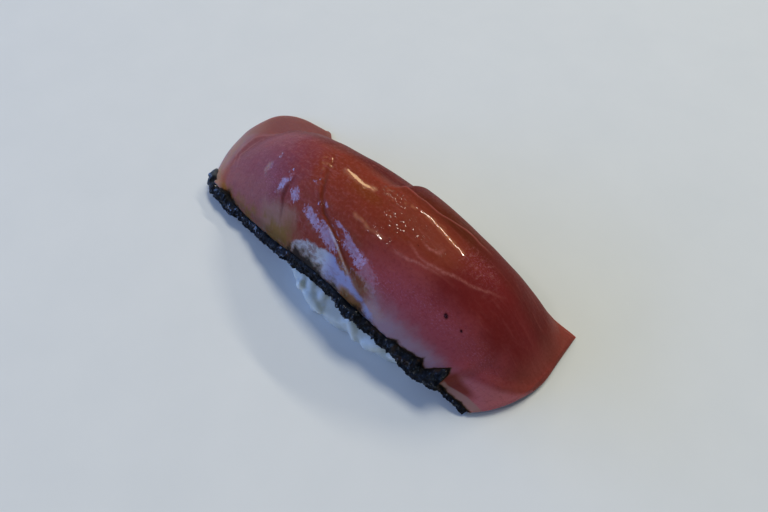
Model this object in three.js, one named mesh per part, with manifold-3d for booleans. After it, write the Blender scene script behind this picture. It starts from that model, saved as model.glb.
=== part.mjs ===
// Bonito nigiri: a slice of bonito, seared on its skin side, draped over a pressed block of rice.
// Millimetres, +Z up. The rice stands on z = 0, the slice runs along X, its skin side faces -Y.
import * as THREE from 'three';
import { mergeVertices } from 'three/addons/utils/BufferGeometryUtils.js';
import Module from 'manifold-3d';

const wasm = await Module();
wasm.setup();

// Arch of the slice: the middle line of its underside, from the left end to the right end.
const CROWN_HEIGHT = 14.9;
const CROWN_X = 4.8;
const LEFT_END_X = -42.4;
const RIGHT_END_X = 38.5;
const LEFT_REACH = 40.5;
const LEFT_POWER = 1.85;
const RIGHT_REACH = 33.5;
const RIGHT_POWER = 2.2;
const PLATE_CLEARANCE = 0.25;

// Cross-section of the slice.
const FLESH_THICKNESS = 6.1;
const END_THINNING = 0.68;
const NEAR_HALF_WIDTH = 13.6;
const FAR_HALF_WIDTH = 13.1;
const NEAR_DROOP = 7.8;
const FAR_DROOP = 8.25;
const FAR_WAIST_X = -12.6;
const FAR_WAIST_DEPTH = 2.3;
const FAR_NOTCH_DEPTH = 0.9;
const FAR_NOTCH_DROP = 1.3;
const FLAP_STEP = 0.8;
const FLAP_CORNER = 1;
const FLAP_CORNER_S = -33.5;
const HALF_GIRTH = 13.3;

// Seared skin along the near edge.
const SKIN_HEIGHT = 3.3;
const SKIN_STAND_OFF = 0.95;
const SKIN_PEAK_S = 30.4;
const SKIN_OVERHANG = 1.3;
const SKIN_LOWER_LIP = 0.3;

// Rice block.
const RICE_LEFT_REACH = 26.5;
const RICE_RIGHT_REACH = 29;
const RICE_NEAR_WIDTH = 12.4;
const RICE_FAR_WIDTH = 11;
const RICE_BULGE = 4.8;
const RICE_BULGE_X = 0.5;
const RICE_HEEL = 3.2;
const RICE_WAIST = 3.2;
const RICE_WAIST_X = -9;
const GRAIN_LENGTH = 5.8;
const GRAIN_WIDTH = 2.7;
const GRAIN_ROW_HEIGHTS = [1.25, 3.4, 5.5, 7.6];
const GRAIN_PITCH = 4.5;
const TOUCH_GAP = 0.35;
const KEEP_OUT_MARGIN = 1.6;
const SEED = 20731;

// Mesh density.
const STATIONS = 73;
const TOP_POINTS = 25;
const UNDER_POINTS = 9;
const SKIN_POINTS = 5;
const SLIVER = 0.03;

const { clamp, lerp, smoothstep } = THREE.MathUtils;
const bell = (x, width) => Math.exp(-((x / width) ** 2));

function seededRandom(seed) {
  let state = seed >>> 0;
  return () => {
    state = (state + 0x6d2b79f5) >>> 0;
    let t = state;
    t = Math.imul(t ^ (t >>> 15), t | 1);
    t ^= t + Math.imul(t ^ (t >>> 7), t | 61);
    return ((t ^ (t >>> 14)) >>> 0) / 4294967296;
  };
}

// Smooth noise between -1 and 1 with one bump per unit.
function noise(x, y) {
  const corner = (i, j) => {
    let h = Math.imul(i, 374761393) ^ Math.imul(j, 668265263);
    h = Math.imul(h ^ (h >>> 13), 1274126177);
    return ((h ^ (h >>> 16)) >>> 0) / 2147483648 - 1;
  };
  const i = Math.floor(x);
  const j = Math.floor(y);
  const tx = smoothstep(x - i, 0, 1);
  const ty = smoothstep(y - j, 0, 1);
  const low = lerp(corner(i, j), corner(i + 1, j), tx);
  const high = lerp(corner(i, j + 1), corner(i + 1, j + 1), tx);
  return lerp(low, high, ty);
}

function archHeight(x) {
  const reach = x < CROWN_X ? LEFT_REACH : RIGHT_REACH;
  const power = x < CROWN_X ? LEFT_POWER : RIGHT_POWER;
  const z = CROWN_HEIGHT * (1 - Math.abs((x - CROWN_X) / reach) ** power);
  return 0.5 * (z + 0.2 + Math.hypot(z - 0.2, 1.2));
}

// The arch, sampled evenly in x, with its arc length counted from x = 0.
function buildArch() {
  const step = 0.1;
  const samples = [];
  let s = 0;
  for (let x = LEFT_END_X - 8; x <= RIGHT_END_X + 8; x += step) {
    const z = archHeight(x);
    const last = samples[samples.length - 1];
    if (last) s += Math.hypot(x - last.x, z - last.z);
    samples.push({ x, z, s });
  }
  const origin = samples.find((p) => p.x >= 0).s;
  samples.forEach((p) => { p.s -= origin; });
  return samples;
}

const arch = buildArch();

function arcAtX(x) {
  return arch.find((p) => p.x >= x).s;
}

const S_LEFT = arcAtX(LEFT_END_X);
const S_RIGHT = arcAtX(RIGHT_END_X);
const S_WAIST = arcAtX(FAR_WAIST_X);

// Point and unit tangent of the arch at arc length s.
function archAt(s) {
  let low = 0;
  let high = arch.length - 1;
  while (high - low > 1) {
    const middle = (low + high) >> 1;
    if (arch[middle].s <= s) low = middle;
    else high = middle;
  }
  const a = arch[low];
  const b = arch[high];
  const t = (s - a.s) / (b.s - a.s);
  const before = arch[Math.max(low - 3, 0)];
  const after = arch[Math.min(high + 3, arch.length - 1)];
  const run = Math.hypot(after.x - before.x, after.z - before.z);
  return {
    x: lerp(a.x, b.x, t),
    z: lerp(a.z, b.z, t),
    tx: (after.x - before.x) / run,
    tz: (after.z - before.z) / run,
  };
}

// Arc length of the rounded left end at cross position v, from -1 at the skin to 1 at the far side.
function leftOutline(v) {
  const turn = 0.09;
  if (v < turn) return S_LEFT + 7.7 * Math.abs((v - turn) / (1 + turn)) ** 1.66;
  return S_LEFT + 9.9 * ((v - turn) / (1 - turn)) ** 3.8;
}

function rightOutline(v) {
  const corner = 2.6 * Math.abs(Math.min(v, 0)) ** 3;
  return S_RIGHT + 0.6 * v - corner + 1.3 * bell(v, 0.5);
}

// Distance from the left outline to the bend where the thin end flap starts.
function flapWidth(v) {
  return 3 + 6.2 * smoothstep(v, -0.05, 0.6);
}

// Distance of a point from a chain of points, and how far along the chain its nearest point lies.
function chainDistance(x, y, chain) {
  let best = { distance: Infinity, along: 0 };
  for (let i = 0; i < chain.length - 1; i += 1) {
    const [ax, ay] = chain[i];
    const [bx, by] = chain[i + 1];
    const dx = bx - ax;
    const dy = by - ay;
    const t = clamp(((x - ax) * dx + (y - ay) * dy) / (dx * dx + dy * dy), 0, 1);
    const distance = Math.hypot(x - ax - t * dx, y - ay - t * dy);
    if (distance < best.distance) best = { distance, along: (i + t) / (chain.length - 1) };
  }
  return best;
}

// Lines on the flesh: millimetres along the slice, then across it from its middle line.
const LONG_CREASE = [[-9, 1], [-6.5, -3], [-4, -6.5], [0, -8.2], [5, -9.6], [12, -11.6]];
const SHORT_CREASE = [[-13, -6.2], [-12, -9], [-11, -11.5]];
const END_FOLD = [[30, -11.3], [34.5, -9.4], [40, -7]];

function crease(s, across, chain, depth, width) {
  const { distance, along } = chainDistance(s, across, chain);
  const fade = Math.sin(Math.PI * clamp(along, 0.02, 0.98)) ** 0.5;
  return -depth * fade * bell(distance, width);
}

// Height added to the flesh: creases, the overlapping flake of the far side, the corner fold, soft waves.
function fleshRelief(s, v) {
  const across = v * HALF_GIRTH;
  const creases = crease(s, across, LONG_CREASE, 0.5, 0.9) + crease(s, across, SHORT_CREASE, 0.4, 0.8);
  const flakeEdge = 0.36 + 0.14 * smoothstep(s, 10, 17);
  const flakeSpan = smoothstep(s, 2.5, 4.5) * (1 - smoothstep(s, 16, 22));
  const flake = -0.6 * flakeSpan * smoothstep(v, flakeEdge, flakeEdge + 0.08);
  const dipSpan = smoothstep(s, -6, 2.6) * (1 - smoothstep(s, 3, 4.8));
  const dip = -FAR_NOTCH_DROP * dipSpan * smoothstep(v, 0.15, 0.45);
  const fold = 0.7 * bell(chainDistance(s, across, END_FOLD).distance, 1.8);
  const waves = 0.25 * noise(s * 0.16, across * 0.2 + 5.3);
  return creases + flake + dip + fold + waves;
}

// The section at arc length s and cross position v: offsets along Y and along the arch's normal.
function sectionAt(s, v) {
  const reach = s < 0 ? s / -S_LEFT : s / S_RIGHT;
  const right = clamp(reach, 0, 1);
  const left = clamp(-reach, 0, 1);
  const centre = -1.6 + 2.3 * right ** 2 + 2.1 * left ** 2;
  const notch = FAR_NOTCH_DEPTH * smoothstep(s, -14, -3) * (1 - smoothstep(s, 2.2, 4.6));
  const waist = v > 0 ? FAR_WAIST_DEPTH * bell(s - S_WAIST, 10.4) + notch : 0;
  const corner = v > 0 ? FLAP_CORNER * (1 - smoothstep(s, FLAP_CORNER_S - 1.2, FLAP_CORNER_S + 1.2)) : 0;
  const half = (v < 0 ? NEAR_HALF_WIDTH : FAR_HALF_WIDTH) - 1.8 * right ** 2 - waist + corner;
  const flattening = v > 0 && s < 0 ? 0.45 : 0.67;
  const ease = 1 - flattening * smoothstep(Math.abs(reach), reach < 0 ? 0.3 : 0.5, 1);
  const droop = (v < 0 ? NEAR_DROOP : FAR_DROOP) * Math.abs(v) ** 2.2 * ease;
  const thinning = smoothstep(reach, 0.6, 1) + smoothstep(-reach, 0.3, 0.92);
  const flap = 1 - smoothstep(s - leftOutline(v) - flapWidth(v), -1.6, 1.6);
  const thickness = FLESH_THICKNESS * (1 - END_THINNING * thinning) - FLAP_STEP * flap;
  const rim = Math.min(s - leftOutline(v), rightOutline(v) - s);
  const rounded = thickness * (1 - 0.5 * Math.exp(-Math.max(rim, 0) / 0.9));
  return { y: centre + half * v, droop, thickness: rounded };
}

function skinHeight(s) {
  const tail = 1 - 0.75 * smoothstep(s, SKIN_PEAK_S + 0.5, SKIN_PEAK_S + 3);
  const peak = 1.7 * bell(s - SKIN_PEAK_S, 1.5);
  return (SKIN_HEIGHT + 0.5 * noise(s * 0.3, 3.5) + 0.35 * noise(s * 0.8, 7.5)) * tail + peak;
}

// Places a section offset in space; the whole column is lifted clear of the plate.
function place(s, y, n, lift) {
  const a = archAt(s);
  return new THREE.Vector3(a.x - a.tz * n, y, a.z + a.tx * n + lift);
}

function columnLift(s, droop) {
  const a = archAt(s);
  const z = a.z - a.tx * droop;
  return 0.5 * (PLATE_CLEARANCE - z + Math.hypot(z - PLATE_CLEARANCE, 0.4));
}

function topPoint(s, v) {
  const section = sectionAt(s, v);
  const share = v < 0 ? Math.abs(v) ** 3 : 0;
  const shoulder = v < 0 ? 1 : Math.sqrt(1 - 0.96 * v ** 5);
  const edge = Math.min(skinHeight(s), section.thickness + 2);
  const thickness = lerp(section.thickness * shoulder, edge, share);
  const n = thickness - section.droop;
  const relief = fleshRelief(s, v) * (1 - Math.abs(v) ** 6);
  return place(s, section.y, n + relief, columnLift(s, section.droop));
}

function underPoint(s, v, gap = 0) {
  const section = sectionAt(s, v);
  return place(s, section.y, -section.droop - gap, columnLift(s, section.droop));
}

// Lumps of the charred skin: w runs from its lower edge, 0, to its upper edge, 1.
function skinPoint(s, w) {
  const section = sectionAt(s, -1);
  const height = Math.min(skinHeight(s), section.thickness + 2.4);
  const lumps = noise(s * 0.42, 2 * w) + 0.7 * noise(s * 0.85 + 40, 3 * w);
  const belly = Math.sin(Math.PI * (0.12 + 0.76 * w)) ** 0.7;
  const out = SKIN_STAND_OFF * belly * (1 + 0.55 * lumps);
  const n = -section.droop - SKIN_LOWER_LIP + (height + SKIN_LOWER_LIP) * w + 0.35 * lumps * (w - 0.4);
  return place(s, section.y - out, n, columnLift(s, section.droop));
}

// One closed loop of the slice: over the top, down the far edge, back underneath, up the skin.
function sliceLoop(u) {
  const at = (v) => lerp(leftOutline(v), rightOutline(v), u);
  const loop = [];
  for (let i = 0; i < TOP_POINTS; i += 1) {
    const v = -1 + (2 * i) / (TOP_POINTS - 1);
    loop.push(topPoint(at(v), v));
  }
  for (let i = 0; i < UNDER_POINTS; i += 1) {
    const v = 1 - (2 * i) / (UNDER_POINTS - 1);
    loop.push(underPoint(at(v), v));
  }
  const skinS = lerp(leftOutline(-1) - SKIN_OVERHANG, rightOutline(-1), u);
  for (let i = 0; i < SKIN_POINTS; i += 1) {
    loop.push(skinPoint(skinS, (i + 0.35) / (SKIN_POINTS - 0.3)));
  }
  return loop;
}

// The space over the slice's underside, with its gap and a margin each side, which the rice keeps out of.
function keepOutLoop(u) {
  const at = (v) => lerp(leftOutline(v), rightOutline(v), u);
  const loop = [];
  for (let i = 0; i < UNDER_POINTS; i += 1) {
    const v = 1 - (2 * i) / (UNDER_POINTS - 1);
    loop.push(underPoint(at(v), v, TOUCH_GAP));
  }
  const far = loop[0].clone();
  const near = loop[loop.length - 1].clone();
  far.y += KEEP_OUT_MARGIN;
  near.y -= KEEP_OUT_MARGIN;
  const lower = [far, ...loop, near];
  const upper = lower.map((p) => new THREE.Vector3(p.x, p.y, CROWN_HEIGHT + FLESH_THICKNESS + 4));
  return [...lower, ...upper.reverse()];
}

// Triangles that close a loop, wound the way the loop runs when seen along X.
function capTriangles(loop) {
  const flat = loop.map((p) => new THREE.Vector2(p.y, p.z));
  const forward = THREE.ShapeUtils.area(flat) > 0;
  const isForward = ([a, b, c]) => THREE.ShapeUtils.area([flat[a], flat[b], flat[c]]) > 0;
  const oriented = (t) => (isForward(t) === forward ? t : [t[0], t[2], t[1]]);
  return THREE.ShapeUtils.triangulateShape(flat, []).map(oriented);
}

function loftSolid(loops) {
  const count = loops[0].length;
  const positions = [];
  loops.forEach((loop) => loop.forEach((p) => positions.push(p.x, p.y, p.z)));
  const indices = [];
  for (let i = 0; i < loops.length - 1; i += 1) {
    for (let j = 0; j < count; j += 1) {
      const a = i * count + j;
      const b = i * count + ((j + 1) % count);
      indices.push(a, a + count, b, b, a + count, b + count);
    }
  }
  const last = (loops.length - 1) * count;
  capTriangles(loops[0]).forEach(([a, b, c]) => indices.push(a, b, c));
  capTriangles(loops[loops.length - 1]).forEach(([a, b, c]) => indices.push(last + a, last + c, last + b));
  const geometry = new THREE.BufferGeometry();
  geometry.setAttribute('position', new THREE.Float32BufferAttribute(positions, 3));
  geometry.setIndex(indices);
  return geometry;
}

function toManifold(geometry) {
  const bare = geometry.clone();
  bare.deleteAttribute('normal');
  bare.deleteAttribute('uv');
  const merged = mergeVertices(bare, 1e-4);
  return new wasm.Manifold(new wasm.Mesh({
    numProp: 3,
    vertProperties: new Float32Array(merged.attributes.position.array),
    triVerts: new Uint32Array(merged.index.array),
  }));
}

function toGeometry(solid) {
  const mesh = solid.getMesh();
  const geometry = new THREE.BufferGeometry();
  geometry.setAttribute('position', new THREE.Float32BufferAttribute(mesh.vertProperties, 3));
  geometry.setIndex(Array.from(mesh.triVerts));
  return geometry;
}

function loftFrom(loopOf, stations) {
  const loops = [];
  for (let i = 0; i < stations; i += 1) loops.push(loopOf(i / (stations - 1)));
  return loftSolid(loops);
}

// Footprint of the rice at an angle round it, scaled by how far its side leans in at height z.
function riceWall(angle, z) {
  const cos = Math.cos(angle);
  const sin = Math.sin(angle);
  const x = (cos < 0 ? -RICE_LEFT_REACH : RICE_RIGHT_REACH) * Math.abs(cos) ** 0.75;
  const pressedOut = RICE_BULGE * bell(x - RICE_BULGE_X, 9.5) + RICE_HEEL * smoothstep(x, 2, 18);
  const near = RICE_NEAR_WIDTH + pressedOut * (1 - smoothstep(z, 3, 7.5));
  const far = RICE_FAR_WIDTH - RICE_WAIST * bell(x - RICE_WAIST_X, 12);
  const y = sin < 0 ? -near * Math.abs(sin) ** 0.5 : far * Math.abs(sin) ** 0.8;
  const lean = z < 3 ? 1 - 0.05 * ((3 - z) / 3) ** 2 : 1 - 0.5 * ((z - 3) / (CROWN_HEIGHT + 2)) ** 2;
  return new THREE.Vector3(x * lean, y * lean, z);
}

function riceCore() {
  const levels = [0, 1.5, 3, 5, 7, 9, 11, 13, CROWN_HEIGHT + 1];
  const sides = 60;
  const ring = (z) => Array.from({ length: sides }, (_, i) => riceWall((2 * Math.PI * i) / sides, z));
  const geometry = loftRings(levels.map(ring));
  return toManifold(geometry);
}

function loftRings(rings) {
  const count = rings[0].length;
  const positions = [];
  rings.forEach((ring) => ring.forEach((p) => positions.push(p.x, p.y, p.z)));
  const bottom = positions.length / 3;
  positions.push(0, 0, rings[0][0].z, 0, 0, rings[rings.length - 1][0].z);
  const indices = [];
  for (let i = 0; i < rings.length - 1; i += 1) {
    for (let j = 0; j < count; j += 1) {
      const a = i * count + j;
      const b = i * count + ((j + 1) % count);
      indices.push(a, b, a + count, b, b + count, a + count);
    }
  }
  const last = (rings.length - 1) * count;
  for (let j = 0; j < count; j += 1) {
    const k = (j + 1) % count;
    indices.push(bottom, k, j, bottom + 1, last + j, last + k);
  }
  const geometry = new THREE.BufferGeometry();
  geometry.setAttribute('position', new THREE.Float32BufferAttribute(positions, 3));
  geometry.setIndex(indices);
  return geometry;
}

// Where the grains sit on the wall: rows round the block, each grain with its own size and turn.
function grainPlaces() {
  const random = seededRandom(SEED);
  const places = [];
  GRAIN_ROW_HEIGHTS.forEach((height, row) => {
    const perimeter = 2 * Math.PI * Math.sqrt((RICE_RIGHT_REACH ** 2 + RICE_NEAR_WIDTH ** 2) / 2);
    const count = Math.round(perimeter / GRAIN_PITCH);
    for (let i = 0; i < count; i += 1) {
      const angle = (2 * Math.PI * (i + 0.5 * (row % 2) + 0.5 * (random() - 0.5))) / count;
      const z = height + 0.7 * (random() - 0.5);
      const size = 0.86 + 0.24 * random();
      const turn = (random() - 0.5) * 2.2;
      places.push({ angle, z, size, turn });
    }
  });
  return places.sort((a, b) => b.size - a.size);
}

function grain({ angle, z, size, turn }) {
  const at = riceWall(angle, z);
  const along = riceWall(angle + 0.02, z).sub(riceWall(angle - 0.02, z)).normalize();
  const up = riceWall(angle, z + 0.2).sub(riceWall(angle, z - 0.2)).normalize();
  const out = new THREE.Vector3().crossVectors(along, up).normalize();
  const axis = along.multiplyScalar(Math.cos(turn)).addScaledVector(up, Math.sin(turn));
  const side = new THREE.Vector3().crossVectors(out, axis).normalize();
  const geometry = new THREE.SphereGeometry(0.5, 5, 4);
  geometry.rotateZ(Math.PI / 2);
  geometry.scale(GRAIN_LENGTH * size, GRAIN_WIDTH * size, GRAIN_WIDTH * 0.85 * size);
  geometry.applyMatrix4(new THREE.Matrix4().makeBasis(axis, side, out));
  geometry.translate(at.x, at.y, at.z);
  return toManifold(geometry);
}

// The outer skin alone is kept, so pockets closed in between grains are filled.
function buildRice() {
  const keepOut = toManifold(loftFrom(keepOutLoop, STATIONS));
  const shows = (solid) => solid.subtract(keepOut).volume() > 0.6 * solid.volume();
  const grains = grainPlaces().map(grain).filter(shows);
  const heap = wasm.Manifold.union([riceCore(), ...grains]);
  const shells = heap.trimByPlane([0, 0, 1], 0).subtract(keepOut).simplify(SLIVER).decompose();
  const outer = shells.reduce((a, b) => (a.volume() > b.volume() ? a : b));
  return toGeometry(outer);
}

function buildSlice() {
  return toGeometry(toManifold(loftFrom(sliceLoop, STATIONS)));
}

function material(name, color, roughness) {
  return new THREE.MeshStandardMaterial({ name, color, roughness, metalness: 0 });
}

function namedMesh(name, geometry, finish) {
  geometry.computeVertexNormals();
  const mesh = new THREE.Mesh(geometry, finish);
  mesh.name = name;
  return mesh;
}

// Moves everything so the box's bottom centre is the origin.
function centreOnPlate(meshes) {
  const box = new THREE.Box3();
  meshes.forEach((mesh) => {
    mesh.geometry.computeBoundingBox();
    box.union(mesh.geometry.boundingBox);
  });
  const middle = box.getCenter(new THREE.Vector3());
  meshes.forEach((mesh) => mesh.geometry.translate(-middle.x, -middle.y, -box.min.z));
}

const slice = namedMesh('bonito_slice', buildSlice(), material('raw_flesh', '#8a3530', 0.25));
const rice = namedMesh('rice', buildRice(), material('cooked_rice', '#dfe0da', 0.45));
centreOnPlate([slice, rice]);

const nigiri = new THREE.Group();
nigiri.name = 'bonito_nigiri';
nigiri.add(slice, rice);

export default nigiri;
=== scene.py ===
"""Bonito nigiri: glazed flesh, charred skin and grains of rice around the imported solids.

Shapes are worked out in millimetres in the slice's own frame, as in the part's source, and moved
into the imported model's frame, in metres, when their meshes are made.
"""
import math

import bpy
import numpy as np
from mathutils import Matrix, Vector
from mathutils import noise as perlin
from mathutils.geometry import tessellate_polygon
from mathutils.kdtree import KDTree


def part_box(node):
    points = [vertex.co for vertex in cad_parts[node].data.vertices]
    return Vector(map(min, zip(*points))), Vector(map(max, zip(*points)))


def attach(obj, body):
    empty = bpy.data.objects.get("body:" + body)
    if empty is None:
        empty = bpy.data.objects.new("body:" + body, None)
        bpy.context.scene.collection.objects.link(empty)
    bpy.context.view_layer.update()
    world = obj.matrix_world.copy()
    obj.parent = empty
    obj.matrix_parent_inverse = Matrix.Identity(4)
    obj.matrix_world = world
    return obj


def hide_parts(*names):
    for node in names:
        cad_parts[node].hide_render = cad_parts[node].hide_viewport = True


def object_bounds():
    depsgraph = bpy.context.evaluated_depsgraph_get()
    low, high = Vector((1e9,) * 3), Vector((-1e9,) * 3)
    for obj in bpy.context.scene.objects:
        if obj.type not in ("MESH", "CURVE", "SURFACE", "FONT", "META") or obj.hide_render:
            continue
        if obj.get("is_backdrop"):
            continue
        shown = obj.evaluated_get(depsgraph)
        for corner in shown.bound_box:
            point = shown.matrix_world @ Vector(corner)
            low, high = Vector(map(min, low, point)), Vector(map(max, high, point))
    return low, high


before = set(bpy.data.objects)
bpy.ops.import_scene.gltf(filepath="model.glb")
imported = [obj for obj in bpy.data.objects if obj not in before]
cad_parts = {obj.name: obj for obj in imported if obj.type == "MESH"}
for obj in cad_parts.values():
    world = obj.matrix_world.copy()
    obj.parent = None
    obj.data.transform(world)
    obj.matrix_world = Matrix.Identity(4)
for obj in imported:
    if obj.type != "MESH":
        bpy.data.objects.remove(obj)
CAD_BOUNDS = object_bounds()
MM = 0.001
BITS_32 = 0xFFFFFFFF

# Arch of the slice
CROWN_HEIGHT = 14.9
CROWN_X = 4.8
LEFT_END_X = -42.4
RIGHT_END_X = 38.5
LEFT_REACH = 40.5
LEFT_POWER = 1.85
RIGHT_REACH = 33.5
RIGHT_POWER = 2.2
PLATE_CLEARANCE = 0.25

# Cross-section of the slice
FLESH_THICKNESS = 6.1
END_THINNING = 0.68
NEAR_HALF_WIDTH = 13.6
FAR_HALF_WIDTH = 13.1
NEAR_DROOP = 7.8
FAR_DROOP = 8.25
FAR_WAIST_X = -12.6
FAR_WAIST_DEPTH = 2.3
FAR_NOTCH_DEPTH = 0.9
FAR_NOTCH_DROP = 1.3
FLAP_STEP = 0.8
FLAP_CORNER = 1.0
FLAP_CORNER_S = -33.5
HALF_GIRTH = 13.3
FAR_SIDE_BULGE = 0.35
RIM_ROUNDING = 1.3
ARCH_STEP = 0.1
FLESH_STATIONS = 440
FLESH_TOP_POINTS = 170
FLESH_UNDER_POINTS = 30
FLESH_SIDE_POINTS = 4

# Relief of the flesh
LONG_CREASE_DEPTH = 0.22
SHORT_CREASE_DEPTH = 0.26
FLAKE_DEPTH = 0.5
FOLD_HEIGHT = 0.34
WAVE_HEIGHT = 0.25
PILLOW_HEIGHT = 0.05
SEPTUM_HEIGHT = 0.02
WRINKLE_HEIGHT = 0.04
POOL_HEIGHT = 0.05
RIDGE_HEIGHT = 0.036

# Seared skin
SKIN_HEIGHT = 3.3
SKIN_THICKNESS = 1.45
SKIN_PEAK_S = 30.4
SKIN_LIP = 0.35
SKIN_STATIONS = 900
SKIN_OUTER = 48

# Rice block
RICE_LEFT_REACH = 26.5
RICE_RIGHT_REACH = 29.0
RICE_NEAR_WIDTH = 12.4
RICE_FAR_WIDTH = 11.0
RICE_BULGE = 5.5
RICE_BULGE_X = 1.7
RICE_HEEL = 3.9
RICE_WAIST = 3.2
RICE_WAIST_X = -9.0
GRAIN_LENGTH = 5.8
GRAIN_WIDTH = 2.7
GRAIN_ROW_HEIGHTS = (1.25, 3.4, 5.5, 7.6)
GRAIN_PITCH = 4.5
GRAIN_SINK = 0.28
GRAIN_SINK_NEAR = 0.76
FILLING_HEIGHTS = (1.2, 2.9, 4.7, 6.5, 8.3, 10.2)
FILLING_COUNT = 34
CORE_LEVELS = (0.05, 1.5, 3, 5, 7, 9, 11, 13, CROWN_HEIGHT + 1)
CORE_OPEN_HEIGHT = 6.0
RICE_VOXEL = 0.26
RICE_SOFTENING = 5
SEED = 20731

# Map of the slice's underside, which keeps the rice below it
MAP_CELL = 0.5
MAP_HALF_SIZE = (50, 25)
NOTHING_ABOVE = 99.0

# View of the photograph, taken as 768 by 512
IMAGE_WIDTH = 768
FOCAL_PIXELS = 577
CAMERA_AZIMUTH = 45.98
CAMERA_ELEVATION = 57.0
CAMERA_DISTANCE = 112.0

# Where the slice's middle lies from the view's: millimetres to the right and further away
SLICE_IN_VIEW = (-1.7, 1.8)

# Metres from the nigiri to every light
LIGHT_DISTANCE = 1.5


def smoothstep(x, low, high):
    t = np.clip((x - low) / (high - low), 0, 1)
    return t * t * (3 - 2 * t)


def bell(x, width):
    return np.exp(-((x / width) ** 2))


def plateau(x, a, b, c, d):
    """Up from 0 to 1 between a and b, and down again between c and d."""
    return smoothstep(x, a, b) * (1 - smoothstep(x, c, d))


def mix(a, b, t):
    return a + (b - a) * t


def lattice(i, j):
    """A fixed pseudorandom value between -1 and 1 for each pair of whole numbers."""
    i, j = i.astype(np.int64) & BITS_32, j.astype(np.int64) & BITS_32
    h = (i * 374761393 ^ j * 668265263) & BITS_32
    h = ((h ^ (h >> 13)) * 1274126177) & BITS_32
    return (h ^ (h >> 16)) / 2**31 - 1


def noise(x, y):
    """Smooth noise between -1 and 1 with one bump per unit."""
    x, y = np.broadcast_arrays(np.asarray(x, float), np.asarray(y, float))
    i, j = np.floor(x), np.floor(y)
    tx, ty = smoothstep(x - i, 0, 1), smoothstep(y - j, 0, 1)
    low = mix(lattice(i, j), lattice(i + 1, j), tx)
    high = mix(lattice(i, j + 1), lattice(i + 1, j + 1), tx)
    return mix(low, high, ty)


def layered_noise(x, y, octaves):
    total = 0
    for k in range(octaves):
        total = total + noise(x * 2**k + 17.3 * k, y * 2**k - 9.1 * k) / 2**k
    return total / 1.6


def seeded_random(seed):
    """The same sequence of draws as the part's source makes."""
    state = seed
    while True:
        state = (state + 0x6D2B79F5) & BITS_32
        t = ((state ^ (state >> 15)) * (state | 1)) & BITS_32
        t ^= (t + (((t ^ (t >> 7)) * (t | 61)) & BITS_32)) & BITS_32
        yield ((t ^ (t >> 14)) & BITS_32) / (BITS_32 + 1)


# Slice form


def build_arch():
    """The slice's middle line from the near side: places, arc length from x = 0, and direction."""
    x = np.arange(LEFT_END_X - 8, RIGHT_END_X + 8, ARCH_STEP)
    reach = np.where(x < CROWN_X, LEFT_REACH, RIGHT_REACH)
    power = np.where(x < CROWN_X, LEFT_POWER, RIGHT_POWER)
    z = CROWN_HEIGHT * (1 - np.abs((x - CROWN_X) / reach) ** power)
    z = 0.5 * (z + 0.2 + np.hypot(z - 0.2, 1.2))
    s = np.concatenate([[0], np.cumsum(np.hypot(np.diff(x), np.diff(z)))])
    s -= s[np.searchsorted(x, -1e-9)]
    dx, dz = np.gradient(x, s), np.gradient(z, s)
    run = np.hypot(dx, dz)
    return {"x": x, "z": z, "s": s, "tx": dx / run, "tz": dz / run}


ARCH = build_arch()


def arch_at(s):
    return [np.interp(s, ARCH["s"], ARCH[k]) for k in ("x", "z", "tx", "tz")]


S_LEFT, S_RIGHT, S_WAIST = np.interp((LEFT_END_X, RIGHT_END_X, FAR_WAIST_X), ARCH["x"], ARCH["s"])


def left_outline(v):
    """Arc length at which the slice starts, at cross position v."""
    turn = 0.09
    to_near = np.abs((v - turn) / (1 + turn))
    near = 7.7 * to_near**1.66 + 1.2 * to_near**8
    far = 9.9 * (np.maximum(v - turn, 0) / (1 - turn)) ** 3.8
    return S_LEFT + np.where(v < turn, near, far)


def right_outline(v):
    """Arc length at which the slice ends, at cross position v."""
    corner = 2.6 * np.abs(np.minimum(v, 0)) ** 3
    return S_RIGHT + 0.6 * v - corner + 1.3 * bell(v, 0.5)


def flap_width(v):
    """Length of the thin end that bends up on the left."""
    return 3 + 6.2 * smoothstep(v, -0.05, 0.6)


def section_at(s, v):
    """Offset along Y, droop below the arch and thickness, at arc length s and cross position v."""
    reach = np.where(s < 0, s / -S_LEFT, s / S_RIGHT)
    right, left = np.clip(reach, 0, 1), np.clip(-reach, 0, 1)
    centre = -1.6 + 2.3 * right**2 + 2.1 * left**2
    notch = FAR_NOTCH_DEPTH * plateau(s, -14, -3, 2.2, 4.6)
    waist = np.where(v > 0, FAR_WAIST_DEPTH * bell(s - S_WAIST, 10.4) + notch, 0)
    corner = np.where(v > 0, FLAP_CORNER * (1 - smoothstep(s, FLAP_CORNER_S - 1.2, FLAP_CORNER_S + 1.2)), 0)
    half = np.where(v < 0, NEAR_HALF_WIDTH, FAR_HALF_WIDTH) - 1.8 * right**2 - waist + corner
    flattening = np.where((v > 0) & (s < 0), 0.45, 0.67)
    ease = 1 - flattening * smoothstep(np.abs(reach), np.where(reach < 0, 0.3, 0.5), 1)
    droop = np.where(v < 0, NEAR_DROOP, FAR_DROOP) * np.abs(v) ** 2.2 * ease
    thinning = smoothstep(reach, 0.6, 1) + smoothstep(-reach, 0.3, 0.92)
    flap = 1 - smoothstep(s - left_outline(v) - flap_width(v), -1.6, 1.6)
    thickness = FLESH_THICKNESS * (1 - END_THINNING * thinning) - FLAP_STEP * flap
    return centre + half * v, droop, thickness


def rim_distance(s, v):
    return np.maximum(np.minimum(s - left_outline(v), right_outline(v) - s), 0)


def edge_height(s):
    """Height of the flesh's near side, which the skin covers."""
    tail = 1 - 0.75 * smoothstep(s, SKIN_PEAK_S + 0.5, SKIN_PEAK_S + 3)
    return (SKIN_HEIGHT + 0.5 * noise(s * 0.3, 3.5)) * tail


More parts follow.
